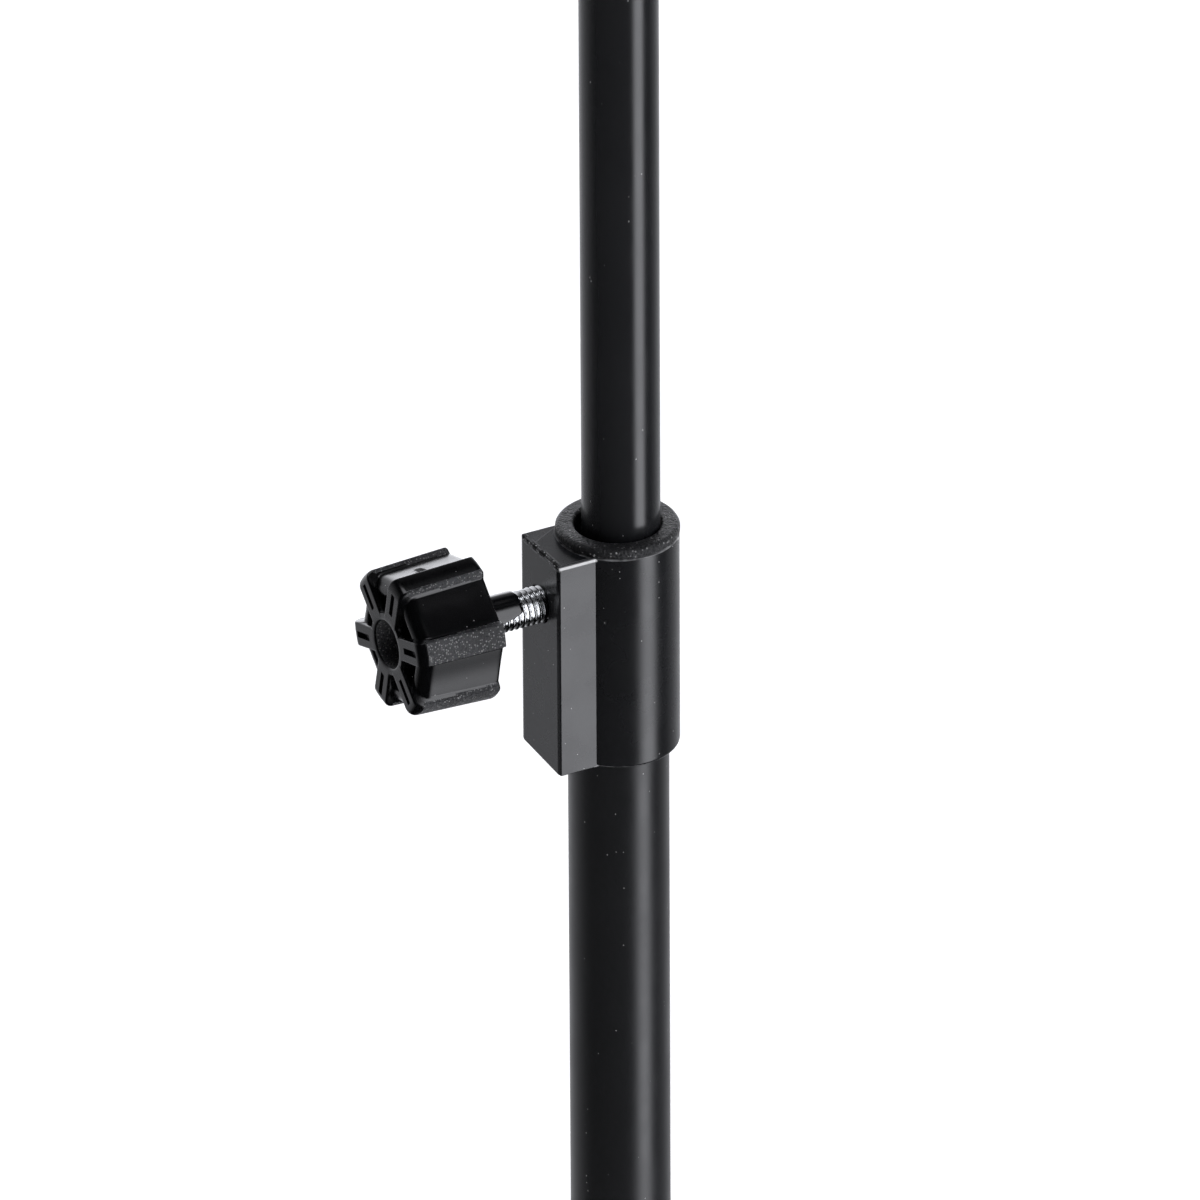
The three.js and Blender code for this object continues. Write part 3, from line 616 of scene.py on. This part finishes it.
def thread_object(name, place, start, end, crest, root, pitch, material):
    """Right-hand thread along local X with pointed ends, closed at both ends."""
    sides, per_pitch = 96, 16
    depth = crest - root
    rows = [[(start, 0, 0)]]
    count = int((end - start) / pitch * per_pitch)
    for k in range(count + 1):
        x = start + (end - start) * k / count
        row = []
        for i in range(sides):
            angle = 2 * math.pi * i / sides
            phase = (x / pitch - angle / (2 * math.pi)) % 1.0
            form = (0.5 + 0.5 * math.cos(2 * math.pi * phase)) ** 0.75
            radius = root + depth * form
            radius = min(radius, root - 0.3 + (x - start), root + (end - x))
            row.append((x, radius * math.cos(angle), radius * math.sin(angle)))
        rows.append(row)
    rows.append([(end, 0, 0)])
    obj = grid_object(name, rows, place)
    obj.data.materials.append(material)
    return smooth(obj, 75, weighted=False)


def clamp_screw(prefix, place, tube_face, knob_back, mats):
    """Pad, threaded stud and knob along local X of place."""
    pad = lathe(f"{prefix}_pad_visual", rounded([
        (0, tube_face + 0.3, 0), (3.6, tube_face + 0.3, 0.4), (3.6, tube_face + 2.5, 0.5),
        (0, tube_face + 2.5, 0)], closed=False), place @ ALONG_X, 64)
    pad.data.materials.append(mats["brass"])
    smooth(pad)
    stud = thread_object(f"{prefix}_stud_visual", place, tube_face + 2.8, knob_back + 5.5, 3.95, 3.2,
                         1.25, mats["zinc"])
    turned = place @ Matrix.Translation((knob_back, 0, 0))
    knob = knob_object(f"{prefix}_knob_visual", turned, NECK_LENGTH, 3.98, 6.0,
                       [mats["knob"], mats["knob grain"]])
    return {f"{prefix}_pad": pad, f"{prefix}_stud": stud, f"{prefix}_knob": knob}


# ---------------------------------------------------------------- clutch

COLLAR_RADIUS, COLLAR_HEIGHT, COLLAR_BORE = 12.8, 49.5, 10.85
BOSS_HALF, BOSS_FACE, BOSS_TOP = 8.35, 18.3, 49.4  # half width, stand-out from the axis, height
BOSS_CORNER, BOSS_CORNER_DEPTH = 0.95, 0.28  # slanting facet down each front corner
BOSS_RISE = 1.1  # how much higher the lower face ends at its far side
SCREW_HEIGHT = 37.0
CLUTCH_KNOB_BACK = 34.5


def clutch_collar(material):
    flank, flat = BOSS_FACE - BOSS_CORNER_DEPTH, BOSS_HALF - BOSS_CORNER
    boss = prism("clutch_collar_visual", rounded([
        (4.0, -BOSS_HALF, 0), (flank, -BOSS_HALF, 0.3), (BOSS_FACE, -flat, 0.5),
        (BOSS_FACE, flat, 0.5), (flank, BOSS_HALF, 0.3), (4.0, BOSS_HALF, 0)], steps=6),
        0, BOSS_TOP, CLUTCH)
    for vertex in boss.data.vertices:
        local = CLUTCH.inverted() @ (vertex.co / MM)
        if local.z < 1:
            vertex.co.z += BOSS_RISE * MM * (BOSS_HALF - local.y) / (2 * BOSS_HALF)
    soften(boss, 0.4, 4, 60)
    body = lathe("body", rounded([
        (COLLAR_BORE - 1.5, 0.35, 0), (COLLAR_RADIUS, 0.0, 0.9), (COLLAR_RADIUS, COLLAR_HEIGHT, 0.35),
        (COLLAR_BORE - 1.5, COLLAR_HEIGHT, 0)], closed=False, steps=5), CLUTCH, 192, ring=True)
    combine(boss, body, "UNION")
    combine(boss, rod_z(COLLAR_BORE, -2, COLLAR_HEIGHT + 2, CLUTCH, 192), "DIFFERENCE")
    bore, mouth = BOSS_FACE - 0.15, BOSS_FACE + 0.4
    hole = lathe("hole", [(0, 5), (4.03, 5), (4.03, bore), (4.6, mouth), (0, mouth)],
                 CLUTCH @ Matrix.Translation((0, 0, SCREW_HEIGHT)) @ ALONG_X, 72)
    combine(boss, hole, "DIFFERENCE")
    boss.data.materials.clear()
    boss.data.materials.append(material)
    return smooth(boss, 32)


def clutch_bush(material):
    bore, seat, top, rim = 9.12, COLLAR_HEIGHT + 0.12, COLLAR_HEIGHT + 2.1, 12.9

    def wobble(angle, radius, height):
        if radius < rim - 1.7 or height < seat:
            return 0
        return 0.05 * noise.noise(Vector((3 * math.cos(angle), 3 * math.sin(angle), height)))

    profile = rounded([
        (bore, 25.3, 0.3), (10.55, 25.3, 0.3), (10.55, seat, 0), (rim, seat, 0.2), (rim, top, 1.75),
        (bore, top, 0.6)], steps=8)
    obj = lathe("clutch_bush_visual", profile, CLUTCH, 192, ring=True, ripple=wobble)
    hole = rod_z(4.25, 0, 14, CLUTCH @ Matrix.Translation((0, 0, SCREW_HEIGHT)) @ ALONG_X)
    combine(obj, hole, "DIFFERENCE")
    obj.data.materials.clear()
    obj.data.materials.append(material)
    return smooth(obj, 40)


def tube(name, place, outer, inner, low, high, material, beads=()):
    """Tube with rounded ends; beads are (bottom, height, rise) rolled outwards."""
    outline = [(inner, low, 0.3), (outer, low, 0.4)]
    for bottom, height, rise in beads:
        outline += [(outer, bottom, 0.8), (outer + rise, bottom + rise, 0.8),
                    (outer + rise, bottom + height, 0.5), (outer, bottom + height, 0.5)]
    outline += [(outer, high, 0.4), (inner, high, 0.3)]
    obj = lathe(name, rounded(outline, steps=5), place, 192, ring=True)
    obj.data.materials.append(material)
    return smooth(obj, 40)


# ---------------------------------------------------------------- the rest of the stand


def refined(node, material, width, segments, limit, angle=40.0):
    """The CAD node's own shape with flat faces joined and every edge rounded over."""
    obj = bpy.data.objects.new(f"{node}_visual", frame["nodes"][node].data.copy())
    obj.matrix_world = frame["nodes"][node].matrix_world.copy()
    bpy.context.scene.collection.objects.link(obj)
    obj.data.materials.clear()
    shaped = bmesh.new()
    shaped.from_mesh(obj.data)
    bmesh.ops.remove_doubles(shaped, verts=shaped.verts, dist=2e-6)
    bmesh.ops.dissolve_limit(shaped, angle_limit=math.radians(0.6), verts=shaped.verts,
                             edges=shaped.edges)
    bmesh.ops.recalc_face_normals(shaped, faces=shaped.faces)
    shaped.to_mesh(obj.data)
    shaped.free()
    soften(obj, width, segments, limit)
    obj.data.materials.append(material)
    return smooth(obj, angle)


def foot_boot(node, material):
    """Rubber boot with three grip grooves round its sleeve."""
    boot = refined(node, material, 0.9, 4, 50, 45)
    low, high = span(node)
    centre = (low + high) / 2
    outwards = Vector((centre.x - stand_axis.x, centre.y - stand_axis.y, 0)).normalized()
    along = outwards * math.cos(LEG_SLOPE) - Vector((0, 0, math.sin(LEG_SLOPE)))
    across = along.cross(Vector((0, 0, 1))).normalized()
    axes = Matrix((across, along.cross(across), along)).transposed()
    place = Matrix.Translation(centre) @ axes.to_4x4()
    core = boot.data.copy()
    for vertex in core.vertices:
        local = place.inverted() @ (boot.matrix_world @ vertex.co / MM)
        vertex.co = boot.matrix_world.inverted() @ ((place @ Vector(
            (local.x * GROOVE_FLOOR, local.y * GROOVE_FLOOR, local.z))) * MM)
    for offset in GROOVES:
        ring = prism("groove", GROOVE_PLATE, offset, offset + GROOVE_WIDTH, place)
        inner = bpy.data.objects.new("inner", core.copy())
        inner.matrix_world = boot.matrix_world.copy()
        bpy.context.scene.collection.objects.link(inner)
        combine(ring, inner, "DIFFERENCE")
        combine(boot, ring, "DIFFERENCE")
    boot.data.materials.clear()
    boot.data.materials.append(material)
    return smooth(boot, 40)


MAST_RADIUS, TUBE_RADIUS, TUBE_WALL = 8.17, 10.55, 1.0
LEG_PIVOT_HEIGHT, LEG_SCREW_HEIGHT = 13, 18  # above the leg collar's foot, and above the pivot
LEG_SLOPE = math.radians(42)
DESK_LEAN = math.radians(17)
GROOVES, GROOVE_WIDTH = (-9.0, -5.0, -1.0), 1.6  # along the leg from the boot's middle
GROOVE_PLATE = [(-40, -40), (40, -40), (40, 40), (-40, 40)]
GROOVE_FLOOR = 0.93  # share of the boot's thickness left inside a groove

pieces = {}
mats = {
    "tube": paint("black_enamel_tube", (0.0142, 0.0147, 0.0163), 0.335, 0.0000016, 0.14, 0.42),
    "mast": paint("black_enamel_mast", (0.0162, 0.0168, 0.0185), 0.215, 0.0000014, 0.10, 0.30),
    # the collar's enamel also carries painted highlights and a painted reflection
    "collar": paint("black_enamel_collar", (0.0126, 0.0131, 0.0146), 0.26, 0.000002, 0.16, 0.25,
                    collar_wear_and_painted_light),
    "sheet": paint("black_enamel_sheet", (0.012, 0.0125, 0.0138), 0.34, 0.0000035, 0.10, 0.30),
    "knob": plastic("black_plastic_smooth", (0.0028, 0.0029, 0.0034), 0.19, 2600.0, 0.000003, 0.25,
                    0.004),
    "knob grain": plastic("black_plastic_grain", (0.05, 0.051, 0.054), 0.42, 2300.0, 0.00035, 0.75,
                          0.48),
    "nylon": plastic("black_nylon", (0.017, 0.0175, 0.019), 0.40, 1900.0, 0.00035, 0.6, 0.15),
    "zinc": metal("bright_zinc", (0.86, 0.87, 0.88), 0.2, (300, 300, 300), 0.0000001),
    "dull zinc": metal("dull_zinc", (0.40, 0.41, 0.43), 0.36, (900, 900, 900), 0.000002),
    "brass": metal("brass", (0.62, 0.42, 0.17), 0.3, (1200, 1200, 1200), 0.000002),
    "rubber": rubber_material(),
}

pieces["clutch_collar"] = clutch_collar(mats["collar"])
pieces["clutch_bush"] = clutch_bush(mats["nylon"])
mast_push = mast_axis.x - stand_axis.x
pieces.update(clamp_screw("clutch", CLUTCH @ Matrix.Translation((0, 0, SCREW_HEIGHT)),
                          MAST_RADIUS - mast_push, CLUTCH_KNOB_BACK, mats))
mast_low, mast_high = span("upper_tube")
pieces["upper_tube"] = tube("upper_tube_visual", MAST, MAST_RADIUS, MAST_RADIUS - TUBE_WALL,
                            mast_low.z, mast_high.z, mats["mast"])
tube_low, tube_high = span("lower_tube")
leg_collar_low = span("leg_collar")[0]
pieces["lower_tube"] = tube("lower_tube_visual", STAND, TUBE_RADIUS, TUBE_RADIUS - TUBE_WALL,
                            tube_low.z, tube_high.z, mats["tube"],
                            [(leg_collar_low.z - 3.3, 3.0, 1.0)])

leg_screw_z = leg_collar_low.z + LEG_PIVOT_HEIGHT + LEG_SCREW_HEIGHT
LEG_CLAMP = STAND @ Matrix.Translation((0, 0, leg_screw_z)) @ Matrix.Rotation(-math.pi / 2, 4, "Z")
leg_knob_back = stand_axis.y - span("leg_clamp_knob")[1].y + NECK_LENGTH
pieces.update(clamp_screw("leg_clamp", LEG_CLAMP, TUBE_RADIUS, leg_knob_back, mats))

TILT = (Matrix.Translation((mast_axis.x, stand_axis.y, middle("tilt_washer").z))
        @ Matrix.Rotation(-DESK_LEAN, 4, "X"))
tilt_knob_back = span("tilt_knob")[0].x - mast_axis.x
pieces["tilt_knob"] = knob_object(
    "tilt_knob_visual", TILT @ Matrix.Translation((tilt_knob_back, 0, 0)), 0, 4.3, 12.3,
    [mats["knob"], mats["knob grain"]])

finish_of_slot = {"black_paint": "sheet", "black_plastic": "knob", "black_nylon": "nylon",
                  "rubber": "rubber", "brass": "brass", "zinc": "dull zinc"}
for node in sorted(frame["nodes"]):
    if node in pieces:
        continue
    material = mats[finish_of_slot[SLOT_OF[node]]]
    if node.startswith("foot"):
        pieces[node] = foot_boot(node, material)
    elif node in ("desk_plate", "desk_bracket"):
        pieces[node] = refined(node, material, 0.35, 2, 50)
    else:
        pieces[node] = refined(node, material, 0.4, 2, 40)

for node, obj in pieces.items():
    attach(obj, BODY_OF[node])
    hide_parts(node)

# ---------------------------------------------------------------- floor, light and camera

CAMERA_BACK = (-0.4132, -0.7653, 0.4935)  # from the clutch towards the camera
CAMERA_AZIMUTH = math.atan2(CAMERA_BACK[1], CAMERA_BACK[0])
CAMERA_DISTANCE, CAMERA_LENS, CAMERA_ROLL = 3.3227, 480, -0.27  # metres, millimetres, degrees
AIM_RIGHT, AIM_UP = -17.86 / 16000, 136.27 / 16000  # slopes of the view's axis off the clutch
STRIP_AZIMUTH, STRIP_STRENGTH = 58.0, 4.1  # degrees to the right of the camera
OVERHEAD_STRENGTH, PANEL_STRENGTH = 3.0, 1.5


def studio_floor():
    rows = [[(0, 0, 0)]]
    turns = [2 * math.pi * i / 96 for i in range(96)]
    for radius in (2000, 8000, 30000, 100000, 300000):
        rows.append([(radius * math.cos(turn), radius * math.sin(turn), 0) for turn in turns])
    floor = grid_object("studio_floor", rows, Matrix())
    if floor.data.polygons[0].normal.z < 0:
        floor.data.flip_normals()
    material, tree, shader, where = new_material("pale_floor", Roughness=0.9)
    shader.inputs["Specular IOR Level"].default_value = 0.0
    tone = mix_colour(tree, noise_node(tree, where, 3.0, 2.0), (0.80, 0.80, 0.80), (0.83, 0.83, 0.83))
    tree.links.new(tone, shader.inputs["Base Color"])
    tree.links.new(tone, shader.inputs["Emission Color"])
    shader.inputs["Emission Strength"].default_value = 0.75
    floor.data.materials.append(material)
    floor.visible_glossy = False


def studio_world():
    """A dark tent with a strip light, a backdrop, a panel in it and a light overhead; seen as white."""
    world = bpy.data.worlds.new("studio")
    bpy.context.scene.world = world
    world.use_nodes = True
    tree = world.node_tree
    tree.nodes.clear()
    background = tree.nodes.new("ShaderNodeBackground")
    output = tree.nodes.new("ShaderNodeOutputWorld")
    tree.links.new(background.outputs[0], output.inputs[0])
    where = tree.nodes.new("ShaderNodeTexCoord").outputs["Generated"]
    axes = tree.nodes.new("ShaderNodeSeparateXYZ")
    tree.links.new(where, axes.inputs[0])
    x, y, z = axes.outputs
    turn_x, turn_y = math.cos(CAMERA_AZIMUTH), math.sin(CAMERA_AZIMUTH)
    forward = value(tree, "ADD", value(tree, "MULTIPLY", x, turn_x),
                    value(tree, "MULTIPLY", y, turn_y))
    side = value(tree, "ADD", value(tree, "MULTIPLY", x, -turn_y),
                 value(tree, "MULTIPLY", y, turn_x))
    azimuth = value(tree, "MULTIPLY", value(tree, "ARCTAN2", side, forward), 180 / math.pi)
    flat = value(tree, "SQRT", value(tree, "ADD", value(tree, "MULTIPLY", forward, forward),
                                     value(tree, "MULTIPLY", side, side)))
    cosine = value(tree, "DIVIDE", forward, value(tree, "MAXIMUM", flat, 0.001))
    elevation = value(tree, "MULTIPLY", value(tree, "ARCSINE", z), 180 / math.pi)

    strip_edge = value(tree, "ABSOLUTE", value(tree, "SUBTRACT", azimuth, STRIP_AZIMUTH))
    strip = value(tree, "MULTIPLY", ramp(tree, strip_edge, 22.5, 6.0), STRIP_STRENGTH)
    strip = value(tree, "MULTIPLY", strip, ramp(tree, elevation, 50.0, 38.0))
    left = value(tree, "MAXIMUM", value(tree, "MULTIPLY_ADD", cosine, -0.62, 0.14), 0.0)
    right = value(tree, "MAXIMUM", value(tree, "MULTIPLY_ADD", cosine, -0.85, -0.10), 0.0)
    on_right = ramp(tree, azimuth, -6.0, 6.0)
    backdrop = value(tree, "ADD", value(tree, "MULTIPLY", right, on_right),
                     value(tree, "MULTIPLY", left, value(tree, "SUBTRACT", 1.0, on_right)))
    backdrop = value(tree, "MULTIPLY", backdrop, ramp(tree, elevation, 52.0, 0.0, 0.0, 1.5))
    backdrop = value(tree, "MULTIPLY", backdrop, ramp(tree, elevation, -30.0, 0.0, 0.667, 1.0))
    behind = ramp(tree, value(tree, "ABSOLUTE", azimuth), 152.0, 168.0)
    panel = value(tree, "MULTIPLY", behind, PANEL_STRENGTH)
    panel = value(tree, "MULTIPLY", panel, ramp(tree, elevation, 20.0, 8.0))
    panel = value(tree, "MULTIPLY", panel, ramp(tree, elevation, -20.0, -10.0))
    level = value(tree, "ADD", value(tree, "ADD", strip, backdrop), panel)
    overhead = value(tree, "MULTIPLY", ramp(tree, elevation, 64.0, 74.0), OVERHEAD_STRENGTH)
    band = ramp(tree, elevation, -60.0, -42.0)
    total = value(tree, "MAXIMUM", value(tree, "MULTIPLY", level, band), overhead)
    path = tree.nodes.new("ShaderNodeLightPath").outputs["Is Camera Ray"]
    seen = value(tree, "MULTIPLY", path, value(tree, "SUBTRACT", 1.0, total))
    tree.links.new(value(tree, "ADD", total, seen), background.inputs["Strength"])
    cool = mix_colour(tree, path, (0.985, 0.995, 1.045), (1.0, 1.0, 1.0))
    tree.links.new(cool, background.inputs["Color"])


def photo_camera():
    target = Vector((0.0, stand_axis.y * MM, (collar_low.z + 0.6) * MM))
    back = Vector(CAMERA_BACK).normalized()
    right = Vector((-back.y, back.x, 0)).normalized()
    up = back.cross(right)
    forward = (-back + right * AIM_RIGHT + up * AIM_UP).normalized()
    side = forward.cross(up).normalized()
    true_up = side.cross(forward)
    basis = Matrix((side, true_up, -forward)).transposed().to_4x4()
    roll = Matrix.Rotation(math.radians(CAMERA_ROLL), 4, "Z")
    data = bpy.data.cameras.new("camera")
    data.lens = CAMERA_LENS
    data.sensor_width = 36
    data.clip_end = 1000
    camera = bpy.data.objects.new("camera", data)
    camera.matrix_world = Matrix.Translation(target + back * CAMERA_DISTANCE) @ basis @ roll
    bpy.context.scene.collection.objects.link(camera)
    bpy.context.scene.camera = camera


studio_floor()
studio_world()
photo_camera()
bpy.context.scene.view_settings.view_transform = "Standard"
bpy.context.scene.view_settings.look = "None"

bpy.context.view_layer.update()
